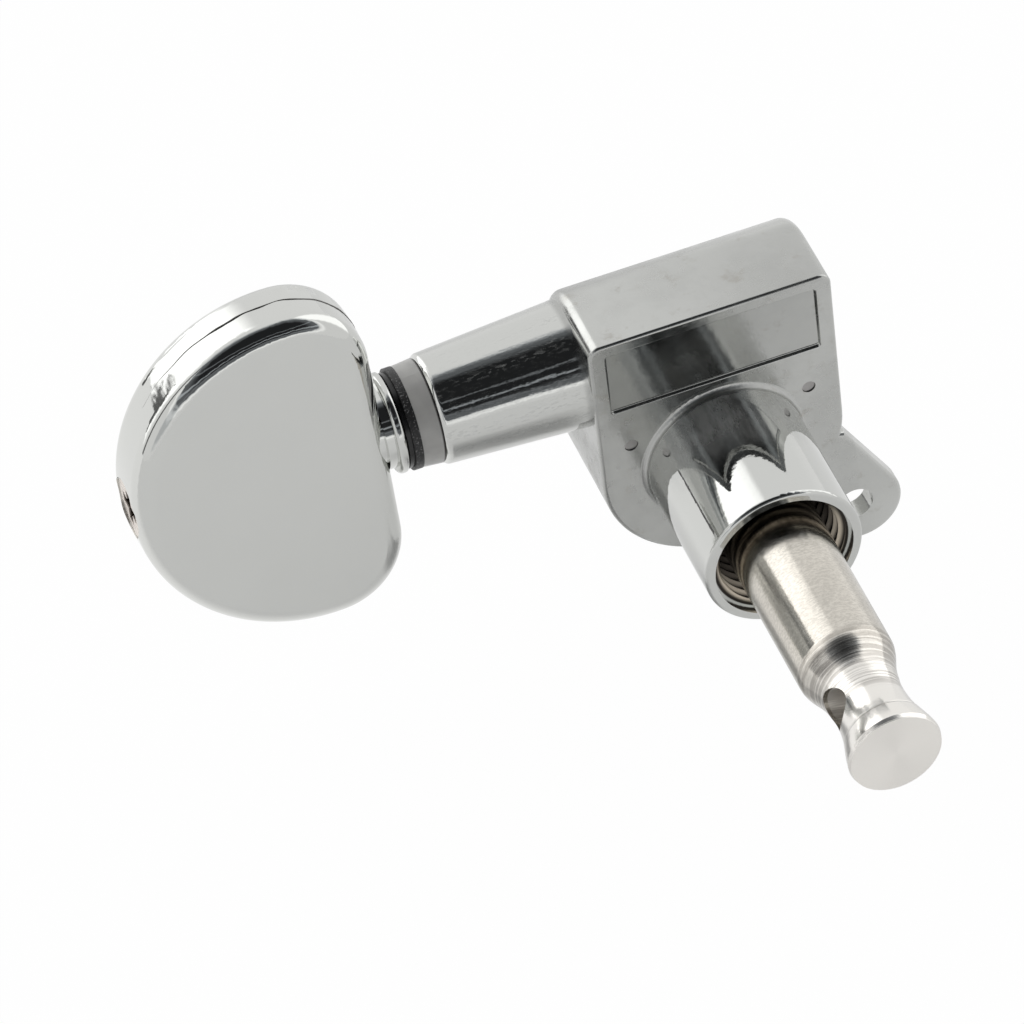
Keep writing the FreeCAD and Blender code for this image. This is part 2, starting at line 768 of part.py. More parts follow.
def knob_plan(inset):
    """The knob's outline before it is turned: a disc with one side cut flat."""
    centre = knob_centre_station
    radius = knob_radius - inset
    corner = knob_corner_radius - inset
    flat = knob_flat_station - inset
    corner_centre = flat - corner
    rise = math.sqrt((radius - corner) ** 2 - (corner_centre - centre) ** 2)
    swing = math.atan2(rise, corner_centre - centre)
    touch = Vector(centre + radius * math.cos(swing), 0, radius * math.sin(swing))
    middle = Vector(corner_centre + corner * math.cos(swing / 2), 0,
                    rise + corner * math.sin(swing / 2))
    edges = [
        Part.LineSegment(Vector(flat, 0, -rise), Vector(flat, 0, rise)),
        Part.Arc(Vector(flat, 0, rise), middle, touch),
        Part.Arc(touch, Vector(centre - radius, 0, 0), Vector(touch.x, 0, -touch.z)),
        Part.Arc(Vector(touch.x, 0, -touch.z), Vector(middle.x, 0, -middle.z),
                 Vector(flat, 0, -rise)),
    ]
    return Part.Wire([edge.toShape() for edge in edges])


def knob_slab():
    """The knob's slab, with flat faces and a rim that bulges between them."""
    outline = knob_plan(0)
    start = outline.Edges[0].valueAt(outline.Edges[0].FirstParameter)
    half = knob_thickness / 2
    outer = -knob_rim_bulge
    rim_edges = [
        Part.Arc(start + Vector(outer, -half, 0), start, start + Vector(outer, half, 0)),
        Part.LineSegment(start + Vector(outer, half, 0),
                         start + Vector(-knob_rim_width, half, 0)),
        Part.LineSegment(start + Vector(-knob_rim_width, half, 0),
                         start + Vector(-knob_rim_width, -half, 0)),
        Part.LineSegment(start + Vector(-knob_rim_width, -half, 0),
                         start + Vector(outer, -half, 0)),
    ]
    rim = outline.makePipeShell([Part.Wire([edge.toShape() for edge in rim_edges])], True, False)
    core = Part.Face(knob_plan((knob_rim_width + knob_rim_bulge) / 2))
    core.translate(Vector(0, -half, 0))
    slab = rim.fuse(core.extrude(Vector(0, knob_thickness, 0))).removeSplitter()
    rims = edges_at_depth(slab, -half) + edges_at_depth(slab, half)
    return slab.makeFillet(knob_edge_round, rims)


def knob():
    """The knob: a slab with a stepped neck, a flatted bore and a sunk screw seat."""
    slab = knob_slab()
    slab.translate(worm_centre)
    slab.rotate(worm_centre, along_x, -knob_turn)
    neck = shaft_rod(knob_neck_radius, knob_flat_station - knob_neck_sunk, collar_face)
    boss = shaft_rod(knob_boss_radius, knob_flat_station - knob_rim_width, collar_face)
    bore = flatted_shaft(shaft_radius + seat_clearance, shaft_flat + seat_clearance,
                         shaft_knob_end - axial_play, collar_face + cut_overrun)
    screw_hole = shaft_rod(knob_screw_radius + running_clearance,
                           spot_face - cut_overrun, shaft_knob_end)
    spot = shaft_rod(knob_spot_radius, knob_far_station - cut_overrun, spot_face)
    countersink = Part.makeCone(
        knob_spot_radius, knob_screw_radius + knob_screw_head_clearance,
        knob_screw_head_height, worm_centre + Vector(spot_face, 0, 0), along_x)
    return slab.fuse([boss, neck]).cut([bore, screw_hole, spot, countersink])


def knob_screw():
    top = worm_centre + Vector(spot_face, 0, 0)
    return flat_screw(knob_screw_radius, knob_screw_length, knob_screw_head_radius,
                      knob_screw_head_height, top, along_x * -1)


pieces = [
    housing, back_cover, cover_gasket, cover_pins,
    post_bush, post_seal, post_thrust_washer,
    string_post, worm_wheel, gear_washer, gear_screw,
    worm_shaft, end_bush, worm_thrust_washer, inner_bush, shaft_seal, barrel_bush,
    friction_washer, spring_washer, collar_washer, knob, knob_screw,
]

for make in pieces:
    shape = make()
    shape.exportStep("parts/" + make.__name__ + ".step")
    print(make.__name__, "solids", len(shape.Solids), "valid", shape.isValid(),
          "volume", round(shape.Volume, 3))
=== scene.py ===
import json
import math
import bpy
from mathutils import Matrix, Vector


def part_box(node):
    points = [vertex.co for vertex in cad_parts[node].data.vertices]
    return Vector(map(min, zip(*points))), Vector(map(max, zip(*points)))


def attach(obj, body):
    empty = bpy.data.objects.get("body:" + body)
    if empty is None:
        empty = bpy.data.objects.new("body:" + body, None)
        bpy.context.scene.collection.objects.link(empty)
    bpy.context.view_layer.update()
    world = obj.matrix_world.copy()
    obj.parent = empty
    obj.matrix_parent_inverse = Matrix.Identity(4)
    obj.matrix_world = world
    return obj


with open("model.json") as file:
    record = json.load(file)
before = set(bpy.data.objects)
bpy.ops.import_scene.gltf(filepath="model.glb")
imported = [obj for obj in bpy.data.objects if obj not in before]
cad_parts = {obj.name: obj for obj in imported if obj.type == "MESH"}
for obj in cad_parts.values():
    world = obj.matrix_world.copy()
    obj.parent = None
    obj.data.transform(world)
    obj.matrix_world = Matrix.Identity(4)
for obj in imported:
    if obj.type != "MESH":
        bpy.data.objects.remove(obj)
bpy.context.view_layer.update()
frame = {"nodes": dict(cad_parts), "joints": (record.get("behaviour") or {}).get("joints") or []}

from types import SimpleNamespace

import bmesh
import bpy
from mathutils import Matrix, Vector
from mathutils.bvhtree import BVHTree
from mathutils.noise import noise as smooth_noise

MM = 0.001


def mm(*values):
    """Millimetres as metres."""
    return tuple(value * MM for value in values)


# Camera: where it stands, where it looks in degrees, and its lens
CAMERA_PLACE = Vector(mm(-99.89, -325.27, 338.81))
CAMERA_HEADING = 14.886
CAMERA_DROP = 45.134
CAMERA_ROLL = -7.633
CAMERA_CLIP = (0.02, 20.0)
LENS = 283.92
SENSOR = 36.0

# Places on the object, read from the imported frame
KNOB_LOW, KNOB_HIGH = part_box("knob")
SCREW_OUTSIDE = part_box("knob_screw")[0].x
CASING_LOW, CASING_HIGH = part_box("housing")
SHAFT = next(Vector(j["pos_m"]) for j in frame["joints"] if j["name"] == "knob_spin")

# Colours, and how much darker or lighter their tones are
PLATE = (0.622, 0.628, 0.608)
PLATE_SHADED_TONE = 0.71
PLATE_LIT_TONE = 0.92
PLATE_ON_PANEL = 0.35
PLATE_ON_KNOB = (1.02, 1.07)
STAIN = (0.36, 0.34, 0.30)
THREAD_PAINTED_SHADE = (0.035, 0.03, 0.026)
THREAD_RIDGE_LIT = (0.62, 0.55, 0.45)
NICKEL = (0.70, 0.665, 0.60)
NICKEL_CLOUDED = 0.91
NICKEL_DARK = 0.45
CUT_METAL_AND_SHEEN = (0.93, 0.905, 0.86)
CUT_METAL_AND_SHEEN_ROUND = 0.93
TOOL_MARK = (0.16, 0.14, 0.12)
GREASE_AND_SHADE = (0.03, 0.026, 0.022)
NYLON = ((0.44, 0.435, 0.42), (0.50, 0.495, 0.475))
NYLON_DIRT = (0.15, 0.145, 0.14)
ZINC = ((0.74, 0.66, 0.60), (0.86, 0.79, 0.72))
ZINC_SHADE = (0.10, 0.08, 0.065)
RUBBER = (0.012, 0.012, 0.012)
FLAKE = (0.17, 0.17, 0.17)
PLAIN_CLOUDED = 0.85

# Roughness of each surface, from one end of its pattern to the other
FLATS_ROUGHNESS = (0.13, 0.27)
FRECKLE_ROUGHNESS = (0.0, 0.12)
PANEL_ROUGHNESS = 0.08
POLISHED_ROUGHNESS = (0.025, 0.055)
RAW_CASTING_ROUGHNESS = 0.30
KNOB_ROUGHNESS = (0.035, 0.07)
SMALL_ROUGHNESS = (0.04, 0.12)
POST_ROUGHNESS = (0.12, 0.17)
POST_END_ROUGHNESS = 0.42
POST_HOLE_ROUGHNESS = 0.5

# Lathe lines in the nickel's gloss
LATHE_GLOSS = 0.6
LATHE_TURN = 0.25

# How much less of a mirror the worn and pitted plating is
SCRATCH_HAZE = (0.14, 0.42)
SPECK_HAZE = (0.02, 0.24)

# Where a noise's values turn from low to high
WIDE = (0.3, 0.7)
MEDIUM = (0.35, 0.65)
FRECKLE_RANGE = (0.50, 0.72)
STAIN_RANGE = (0.54, 0.72)
SPECK_RANGE = (0.50, 0.62)
TRACK_RANGE = (0.48, 0.60)
POST_CLOUD_RANGE = (0.35, 0.7)
POST_GRAIN_RANGE = (0.36, 0.64)
TOOL_MARK_RANGE = (0.46, 0.58)
SHADE_RING_RANGE = (0.40, 0.60)
FLAKE_RANGE = (0.58, 0.66)

# Shares: how much painted sheen the plating has by its place, how its tone changes with clouds,
# and how strong each mark is
PAINTED_SHEEN_BY_PLACE = 0.7
TONE_BY_CLOUD = (0.3, 0.0)
PAINTED_SHEEN_TOP = 0.9
PAINTED_SHEEN_EAR = 1.1
STAIN_SHARE = (0.0, 0.45)
PANEL_DARKENING = 0.22
PANEL_POLISH = 0.7
THREAD_LIGHT_SHARE = (1.0, 0.06)
POST_GRAIN_SHARE = (0.34, 0.0)
TOOL_MARK_SHARE = 0.42
GREASE_AND_SHADE_SHARE = (0.97, 0.82)

# Patterns: cycles a metre (three where it is stretched), then detail and roughness
CASTING_CLOUDS = (240.0, 5.0, 0.62)
CASTING_FRECKLES = (1300.0, 4.0, 0.62)
CASTING_STAINS = (620.0, 6.0, 0.7)
BARREL_SPECKS = ((2400.0, 6500.0, 6500.0), 2.0)
BARREL_TRACKS = ((35.0, 900.0, 900.0), 2.0)
SLEEVE_SCRATCHES = ((900.0, 260.0, 900.0), 4.0, 0.65)
KNOB_SMUDGES = (300.0, 4.0)
SMALL_SMUDGES = (2500.0, 3.0)
POST_COARSE_RINGS = ((110.0, 5200.0, 110.0), 3.0, 0.65)
POST_SHADE_RINGS = ((60.0, 3600.0, 60.0), 1.0)
POST_SMEARS = ((700.0, 260.0, 700.0), 4.0, 0.7)
POST_GRAIN = ((4200.0, 8000.0, 4200.0), 3.0, 0.6)
POST_CLOUDS = (400.0, 3.0)
PLAIN_CLOUDS = (900.0, 3.0)
ZINC_CLOUDS = (1500.0, 3.0)
RUBBER_FLAKES = (9000.0, 2.0)

# Reliefs: depth in millimetres, then a pattern as above
CASTING_PEEL = (0.009, 1100.0, 3.0)
CASTING_WAVES = (0.016, 380.0, 2.0)
BARREL_STREAKS = (0.006, (420.0, 2600.0, 2600.0), 4.0, 0.6)
BARREL_DRAWN = (0.012, (40.0, 1500.0, 1500.0), 2.0)
BARREL_GRAIN = (0.003, 5000.0, 2.0)
SLEEVE_DRAWN = (0.004, (1500.0, 160.0, 1500.0), 3.0)
SLEEVE_GRAIN = (0.0022, 2800.0, 3.0)
FOOT_BEADS = (0.02, 5200.0, 2.0)
KNOB_WAVES = (0.006, 420.0, 2.0)
KNOB_GRAIN = (0.0003, 7000.0, 2.0)
SMALL_WAVES = (0.006, 1300.0, 2.0)
POST_FINE_RINGS = (0.0016, (300.0, 16000.0, 300.0), 2.0)
POST_SPOTS = (0.003, 8000.0, 3.0)
POST_WAVES = (0.0015, 900.0, 2.0)
PLAIN_GRAIN = (0.004, 4000.0, 3.0)
NYLON_GRAIN = (0.003, 3000.0, 3.0)
ZINC_GRAIN = (0.006, 3500.0, 3.0)
RUBBER_GRAIN = (0.02, 5000.0, 4.0)
COARSE_RING_DEPTH = 0.011
HOLE_RING_DEPTH = 0.02
GROOVE_DEPTH = -0.03

# Regions of the casting: where each edge starts and ends
HOUSING_SIDE = 7.65 * MM
BARREL_EDGE = mm(-8.15, -7.75)
SLEEVE_EDGE = mm(-0.55, -0.35)
THREAD_EDGE = mm(4.22, 4.30)
THREAD_FLANK = mm(3.87, 4.12)
THREAD_LIGHT = mm(-8.9, -6.6)
FOOT_BAND = mm(-0.45, -0.02, 0.04)
FOOT_EDGE = mm(5.35, 5.55)
EAR_EDGE = mm(7.65, 8.45)
TOP_EDGE = (CASING_HIGH.z - 0.4 * MM, CASING_HIGH.z - 0.05 * MM)
PANEL_HEIGHTS = mm(5.84, 10.48, 0.05)
PANEL_ENDS = mm(6.5, 6.6)
PANEL_DEPTHS = mm(0.15, 0.25, 0.05)
WORN_END = mm(-0.6, -0.4)
WORN_LENGTH = mm(-6.0, -2.5)
WORN_HEIGHTS = mm(1.5, 3.5)

# Regions of the string post
POST_SHADE = mm(-10.9, -9.3)
POST_SHADE_RAGS = 3.4 * MM
WAIST_BAND = mm(-23.4, -19.3, 0.35)
HOLE_BAND = mm(-24.4, -21.4, 0.05)
HOLE_WALL = mm(2.0, 2.1)
GROOVE_BAND = mm(-25.46, -25.34, 0.03)
CUT_LENGTH = mm(-23.0, -18.6)
END_FACE = mm(-27.07, -27.05)

# Regions of the small pieces
NYLON_SEAM = (CASING_LOW.x - 0.08 * MM, CASING_LOW.x - 0.03 * MM)
SCREW_RECESS = (SCREW_OUTSIDE + 0.03 * MM, SCREW_OUTSIDE + 0.12 * MM)

# Seam round the knob's rim
KNOB_TURN = math.radians(9)
SEAM_DEPTH = 0.66
SEAM_RADIUS = 0.05 * MM
SEAM_SWELL = 0.8
SEAM_SWELLS = 11.0
SEAM_WANDER = 0.16 * MM
SEAM_WANDERS = 7.0
SEAM_STEPS = 260
SEAM_SIDES = 8
SEAM_FROM = math.radians(38)
SEAM_TO = math.radians(142)
SEAM_FADE = math.radians(34)
SEAM_THINNEST = 0.1

# White card under the object: the shares of plain white that the eye and mirrors see in it
CARD_DROP = 0.4 * MM
CARD_REACH = 1.2
CARD_COLOUR = 0.9
CARD_SEEN_WHITE = 0.985
CARD_NEAR_WHITE = 0.5
CARD_FAR_WHITE = 0.98
LEFT_BACK_ACROSS = mm(-8.0, -24.0)
LEFT_BACK_ALONG = mm(-12.0, 4.0)
RIGHT_BACK_ACROSS = mm(6.0, 11.0)
RIGHT_BACK_ALONG = mm(-6.0, 0.0)
RIGHT_BACK_SHARE = 0.35
BARREL_SHADE_ACROSS = mm(-15.0, -6.0, 1.5)
BARREL_SHADE_START = mm(-24.0, -9.0)
BARREL_SHADE_END = mm(-2.0, 4.0)

# Light tent, as the object sees it. Bearings are in degrees, 0 behind it and -90 on its
# left, and heights in degrees above the level. A band is from, to, and softness.
BEHIND = (-0.2, 0.2)
TENT = 0.93
TENT_FRONT = 0.85
OPENING_BEARING = 183.0
OPENING_HEIGHT = 57.5
OPENING_TINT = (0.93, 0.98, 1.04, 1.0)
OPENING_EDGE = (45.0, 48.0)
OPENING_EDGE_BEHIND = (42.0, 56.0)
OPENING_CORE = (30.0, 42.0)
OPENING_LEVELS = (0.02, 0.15)
COLLAR_BAND = (49.0, 53.0, 2.0)
COLLAR_EXTRA = 0.3
WING_BEARINGS = (-152.0, -123.0, 3.0)
WING_HEIGHTS = (4.0, 42.0, 3.0)
WING_SHARE = 0.38
LEFT_LAMP = 1.75
LEFT_LAMP_START = (-76.0, -58.0)
LEFT_LAMP_END = (-9.0, 2.0)
LEFT_LAMP_TOP = (42.0, 56.0)
RIGHT_LAMP = 1.5
RIGHT_LAMP_BEARINGS = (52.0, 88.0, 6.0)
RIGHT_LAMP_HEIGHTS = (-30.0, 60.0, 7.0)
GAP = 0.15
GAP_BEARINGS = (-88.0, -81.0, 1.5)
GAP_FOOT = (-14.0, -8.0)
PATCH = 0.14
PATCH_BEARINGS = (-57.0, -36.0, 2.0)
PATCH_HEIGHTS = (-14.0, 17.0, 2.0)
PATCH_RAGS = (20.0, 4.0, 0.7)
PATCH_RAG_DEGREES = 24.0
RAILS = ((30.5, 34.5, 0.34), (20.0, 22.5, 0.10), (47.0, 50.0, 0.16))
RAIL_SOFTNESS = 0.6


class Nodes:
    """Short calls for building one node tree."""

    def __init__(self, tree):
        self.tree = tree
        self.tree.nodes.clear()

    def put(self, socket, value):
        if isinstance(value, bpy.types.NodeSocket):
            self.tree.links.new(value, socket)
        else:
            socket.default_value = value

    def add(self, kind, inputs=None, **settings):
        node = self.tree.nodes.new(kind)
        for name, value in settings.items():
            setattr(node, name, value)
        for key, value in (inputs or {}).items():
            self.put(node.inputs[key], value)
        return node

    def math(self, operation, a, b=0.0, clamp=False):
        node = self.add("ShaderNodeMath", {0: a, 1: b}, operation=operation, use_clamp=clamp)
        return node.outputs[0]

    def plus(self, *terms):
        total = terms[0]
        for term in terms[1:]:
            total = self.math("ADD", total, term)
        return total

    def times(self, *terms):
        product = terms[0]
        for term in terms[1:]:
            product = self.math("MULTIPLY", product, term)
        return product

    def either(self, a, b, clamp=False):
        return self.math("MAXIMUM", a, b, clamp)

    def rest(self, share):
        """What a share leaves of one."""
        return self.math("SUBTRACT", 1.0, share)

    def ramp(self, value, start, end, low=0.0, high=1.0):
        """low before start, high after end, and a smooth way between them."""
        node = self.add("ShaderNodeMapRange",
                        {"Value": value, "From Min": start, "From Max": end,
                         "To Min": low, "To Max": high}, interpolation_type="SMOOTHSTEP")
        return node.outputs[0]

    def fall(self, value, start, end):
        """1 before start, 0 after end."""
        return self.ramp(value, start, end, 1.0, 0.0)

    def window(self, value, low, high, soft):
        """1 between low and high, fading to 0 over soft on each side."""
        rise = self.ramp(value, low - soft, low + soft)
        return self.times(rise, self.fall(value, high - soft, high + soft))

    def mix(self, factor, a, b):
        return self.plus(self.times(a, self.rest(factor)), self.times(b, factor))

    def colour_mix(self, factor, a, b):
        """A mix of two colours; its sockets share their names, so they go by number."""
        node = self.add("ShaderNodeMix", data_type="RGBA")
        for socket, value in ((0, factor), (6, a), (7, b)):
            self.put(node.inputs[socket], value)
        return node.outputs[2]

    def noise(self, vector, scale, detail=2.0, roughness=0.5):
        """A pattern; three scales stretch it."""
        if isinstance(scale, tuple):
            stretch = self.add("ShaderNodeMapping", {"Vector": vector, "Scale": scale})
            vector, scale = stretch.outputs["Vector"], 1.0
        node = self.add("ShaderNodeTexNoise",
                        {"Vector": vector, "Scale": scale, "Detail": detail,
                         "Roughness": roughness})
        return node.outputs["Fac"]

    def relief(self, vector, depth, *pattern):
        """A pattern as a height in millimetres."""
        return self.times(self.noise(vector, *pattern), depth)

    def place(self):
        """The point on the surface, in metres, in the row frame at rest."""
        return self.add("ShaderNodeTexCoord").outputs["Object"]

    def split(self, vector):
        return self.add("ShaderNodeSeparateXYZ", {0: vector}).outputs

    def far_from_axis(self, a, b):
        """The distance from an axis, given the two coordinates across it."""
        return self.math("SQRT", self.plus(self.times(a, a), self.times(b, b)))

    def bump(self, height):
        """A normal for a height given in millimetres."""
        node = self.add("ShaderNodeBump", {"Height": height, "Distance": MM, "Strength": 1.0})
        return node.outputs["Normal"]


def grey(level):
    return (level, level, level, 1.0)


def shaded(colour, factor=1.0):
    return tuple(channel * factor for channel in colour) + (1.0,)


def material(name):
    made = bpy.data.materials.new(name)
    made.use_nodes = True
    return made, Nodes(made.node_tree)


def finish_surface(nodes, **inputs):
    """The shader and the output; base_color is the socket Base Color, and so on."""
    surface = nodes.add("ShaderNodeBsdfPrincipled", {
        key.replace("_", " ").title(): value for key, value in inputs.items()})
    nodes.add("ShaderNodeOutputMaterial", {"Surface": surface.outputs[0]})
    return surface


def casting_regions(nodes, place):
    """How far each point lies in each region of the casting, from 0 to 1."""
    across, along, up = nodes.split(place)
    from_post = nodes.far_from_axis(across, up)
    on = SimpleNamespace()
    on.barrel = nodes.fall(across, *BARREL_EDGE)
    on.sleeve = nodes.fall(along, *SLEEVE_EDGE)
    on.thread = nodes.times(on.sleeve, nodes.fall(from_post, *THREAD_EDGE))
    # Painted light on the thread's ridges near the sleeve's mouth, fading to none further in
    on.ridges = nodes.times(nodes.fall(from_post, *THREAD_FLANK),
                            nodes.ramp(along, *THREAD_LIGHT, *THREAD_LIGHT_SHARE))
    on.foot = nodes.times(nodes.window(along, *FOOT_BAND), nodes.fall(from_post, *FOOT_EDGE))
    on.polished = nodes.either(on.barrel, on.sleeve)
    on.flats = nodes.rest(on.polished)
    on.ear = nodes.times(on.flats, nodes.ramp(across, *EAR_EDGE))
    on.top = nodes.ramp(up, *TOP_EDGE)
    on.right = nodes.ramp(across, -HOUSING_SIDE, HOUSING_SIDE)
    on.panel = nodes.times(nodes.window(up, *PANEL_HEIGHTS),
                           nodes.fall(nodes.math("ABSOLUTE", across), *PANEL_ENDS),
                           nodes.window(along, *PANEL_DEPTHS))
    on.worn = nodes.times(nodes.fall(along, *WORN_END), nodes.ramp(along, *WORN_LENGTH),
                          nodes.ramp(up, *WORN_HEIGHTS), nodes.rest(on.thread))
    return on


def casting_height(nodes, place, on):
    """The relief of the plating, in millimetres."""
    flats = nodes.plus(nodes.relief(place, *CASTING_PEEL),
                       nodes.relief(place, *CASTING_WAVES))
    barrel = nodes.plus(nodes.relief(place, *BARREL_STREAKS),
                        nodes.relief(place, *BARREL_DRAWN),
                        nodes.relief(place, *BARREL_GRAIN))
    sleeve = nodes.plus(nodes.relief(place, *SLEEVE_DRAWN),
                        nodes.relief(place, *SLEEVE_GRAIN))
    foot = nodes.relief(place, *FOOT_BEADS)
    return nodes.plus(nodes.times(on.flats, flats), nodes.times(on.barrel, barrel),
                      nodes.times(on.sleeve, sleeve), nodes.times(on.foot, foot))


def casting_roughness(nodes, on, clouds, freckles):
    flats = nodes.plus(nodes.ramp(clouds, *MEDIUM, *FLATS_ROUGHNESS),
                       nodes.ramp(freckles, *FRECKLE_RANGE, *FRECKLE_ROUGHNESS))
    flats = nodes.mix(nodes.times(on.panel, PANEL_POLISH), flats, PANEL_ROUGHNESS)
    polished = nodes.ramp(freckles, *WIDE, *POLISHED_ROUGHNESS)
    roughness = nodes.mix(on.polished, flats, polished)
    for region in (on.foot, on.thread):
        roughness = nodes.mix(region, roughness, RAW_CASTING_ROUGHNESS)
    return roughness


def casting_colour(nodes, place, on, clouds):
    """Plating with painted sheen to the right, on the ear and at the top's left, and painted
    shade on the other side.
    """
    stains = nodes.noise(place, *CASTING_STAINS)
    # Painted sheen and shade: lighter to the right on the front, to the left on the top, and on
    # the ear; the clouds add a random tone
    painted_sheen_and_tone = nodes.mix(on.top, on.right, nodes.rest(nodes.times(on.right, PAINTED_SHEEN_TOP)))
    painted_sheen_and_tone = nodes.plus(nodes.times(painted_sheen_and_tone, PAINTED_SHEEN_BY_PLACE),
                       nodes.ramp(clouds, *MEDIUM, *TONE_BY_CLOUD))
    painted_sheen_and_tone = nodes.either(painted_sheen_and_tone, nodes.times(on.ear, PAINTED_SHEEN_EAR), clamp=True)
    colour = nodes.colour_mix(painted_sheen_and_tone, shaded(PLATE, PLATE_SHADED_TONE), shaded(PLATE, PLATE_LIT_TONE))
    colour = nodes.colour_mix(nodes.ramp(stains, *STAIN_RANGE, *STAIN_SHARE), colour,
                              shaded(STAIN))
    colour = nodes.colour_mix(on.polished, colour, shaded(PLATE))
    # The recessed panel is darker than the plating round it
    colour = nodes.colour_mix(nodes.times(on.panel, PANEL_DARKENING), colour,
                              shaded(PLATE, PLATE_ON_PANEL))
    # Painted shade deep in the sleeve's thread and in its grooves, with painted light on the
    # ridges near the mouth
    thread = nodes.colour_mix(on.ridges, shaded(THREAD_PAINTED_SHADE), shaded(THREAD_RIDGE_LIT))
    return nodes.colour_mix(on.thread, colour, thread)


def casting_haze(nodes, place, on):
    """Scratches on the sleeve and specks on the barrel, where the plating is less of a mirror."""
    scratches = nodes.ramp(nodes.noise(place, *SLEEVE_SCRATCHES), *MEDIUM, *SCRATCH_HAZE)
    specks = nodes.ramp(nodes.noise(place, *BARREL_SPECKS), *SPECK_RANGE)
    tracks = nodes.ramp(nodes.noise(place, *BARREL_TRACKS), *TRACK_RANGE, *SPECK_HAZE)
    return nodes.plus(nodes.times(on.worn, scratches), nodes.times(on.barrel, specks, tracks))


def casting_plate():
    """Chrome over a zinc casting: clouded flats with painted sheen and shade, a streaky barrel, a
    bright sleeve.
    """
    made, nodes = material("casting_plate")
    place = nodes.place()
    on = casting_regions(nodes, place)
    clouds = nodes.noise(place, *CASTING_CLOUDS)
    freckles = nodes.noise(place, *CASTING_FRECKLES)
    finish_surface(
        nodes, base_color=casting_colour(nodes, place, on, clouds),
        metallic=nodes.rest(casting_haze(nodes, place, on)),
        roughness=casting_roughness(nodes, on, clouds, freckles),
        normal=nodes.bump(casting_height(nodes, place, on)))
    return made


def knob_plate():
    """Bright chrome with faint smudges and slow waves."""
    made, nodes = material("knob_plate")
    place = nodes.place()
    smudges = nodes.noise(place, *KNOB_SMUDGES)
    height = nodes.plus(nodes.relief(place, *KNOB_WAVES),
                        nodes.relief(place, *KNOB_GRAIN))
    tones = (shaded(PLATE, tone) for tone in PLATE_ON_KNOB)
    finish_surface(
        nodes, base_color=nodes.colour_mix(smudges, *tones), metallic=1.0,
        roughness=nodes.ramp(smudges, *WIDE, *KNOB_ROUGHNESS), normal=nodes.bump(height))
    return made


def bright_plate():
    """Chrome on the small turned pieces."""
    made, nodes = material("bright_plate")
    place = nodes.place()
    finish_surface(
        nodes, base_color=shaded(PLATE), metallic=1.0,
        roughness=nodes.ramp(nodes.noise(place, *SMALL_SMUDGES), *WIDE, *SMALL_ROUGHNESS),
        normal=nodes.bump(nodes.relief(place, *SMALL_WAVES)))
    return made


def post_regions(nodes, place):
    """How far each point lies in each region of the string post, from 0 to 1."""
    across, along, up = nodes.split(place)
    from_axis = nodes.far_from_axis(across, up)
    on = SimpleNamespace()
    on.waist = nodes.window(along, *WAIST_BAND)
    on.hole = nodes.times(nodes.window(along, *HOLE_BAND), nodes.fall(from_axis, *HOLE_WALL))
    on.end = nodes.fall(along, *END_FACE)
    on.groove = nodes.window(along, *GROOVE_BAND)
    on.cut = nodes.fall(along, *CUT_LENGTH)
    smears = nodes.math("SUBTRACT", nodes.noise(place, *POST_SMEARS), 0.5)
    on.shade = nodes.ramp(nodes.plus(along, nodes.times(smears, POST_SHADE_RAGS)), *POST_SHADE)
    return on


def turned_nickel():
    """Satin nickel turned on a lathe: rings round the post, coarser in the waist."""
    made, nodes = material("turned_nickel")
    place = nodes.place()
    on = post_regions(nodes, place)
    coarse = nodes.noise(place, *POST_COARSE_RINGS)
    clouds = nodes.noise(place, *POST_CLOUDS)
    grain = nodes.noise(place, *POST_GRAIN)
    height = nodes.plus(
        nodes.relief(place, *POST_FINE_RINGS), nodes.times(on.waist, coarse, COARSE_RING_DEPTH),
        nodes.times(on.hole, coarse, HOLE_RING_DEPTH), nodes.relief(place, *POST_SPOTS),
        nodes.relief(place, *POST_WAVES), nodes.times(on.groove, GROOVE_DEPTH))

    colour = nodes.colour_mix(nodes.ramp(clouds, *POST_CLOUD_RANGE), shaded(NICKEL),
                              shaded(NICKEL, NICKEL_CLOUDED))
    colour = nodes.colour_mix(nodes.ramp(grain, *POST_GRAIN_RANGE, *POST_GRAIN_SHARE), colour,
                              shaded(NICKEL, NICKEL_DARK))
    # From the waist on the post is lighter, and lightest on the end face and in the hole: partly
    # bare cut metal, partly painted sheen
    colour = nodes.colour_mix(on.cut, colour, shaded(CUT_METAL_AND_SHEEN, CUT_METAL_AND_SHEEN_ROUND))
    colour = nodes.colour_mix(nodes.either(on.end, on.hole), colour, shaded(CUT_METAL_AND_SHEEN))
    tool_marks = nodes.times(nodes.either(on.waist, on.hole),
                             nodes.fall(coarse, *TOOL_MARK_RANGE), TOOL_MARK_SHARE)
    colour = nodes.colour_mix(tool_marks, colour, shaded(TOOL_MARK))
    # Painted shade with some grease darkens the post inside the sleeve, in rings and with ragged
    # edges
    rings = nodes.ramp(nodes.noise(place, *POST_SHADE_RINGS), *SHADE_RING_RANGE)
    grease_and_shade = nodes.times(on.shade, nodes.mix(rings, *GREASE_AND_SHADE_SHARE))
    colour = nodes.colour_mix(grease_and_shade, colour, shaded(GREASE_AND_SHADE))

    roughness = nodes.ramp(clouds, *WIDE, *POST_ROUGHNESS)
    roughness = nodes.mix(on.end, roughness, POST_END_ROUGHNESS)
    roughness = nodes.mix(on.hole, roughness, POST_HOLE_ROUGHNESS)
    surface = finish_surface(
        nodes, base_color=colour, metallic=1.0, roughness=roughness, anisotropic=LATHE_GLOSS,
        anisotropic_rotation=LATHE_TURN, normal=nodes.bump(height))
    tangent = nodes.add("ShaderNodeTangent", direction_type="RADIAL", axis="Y")
    nodes.put(surface.inputs["Tangent"], tangent.outputs[0])
    return made


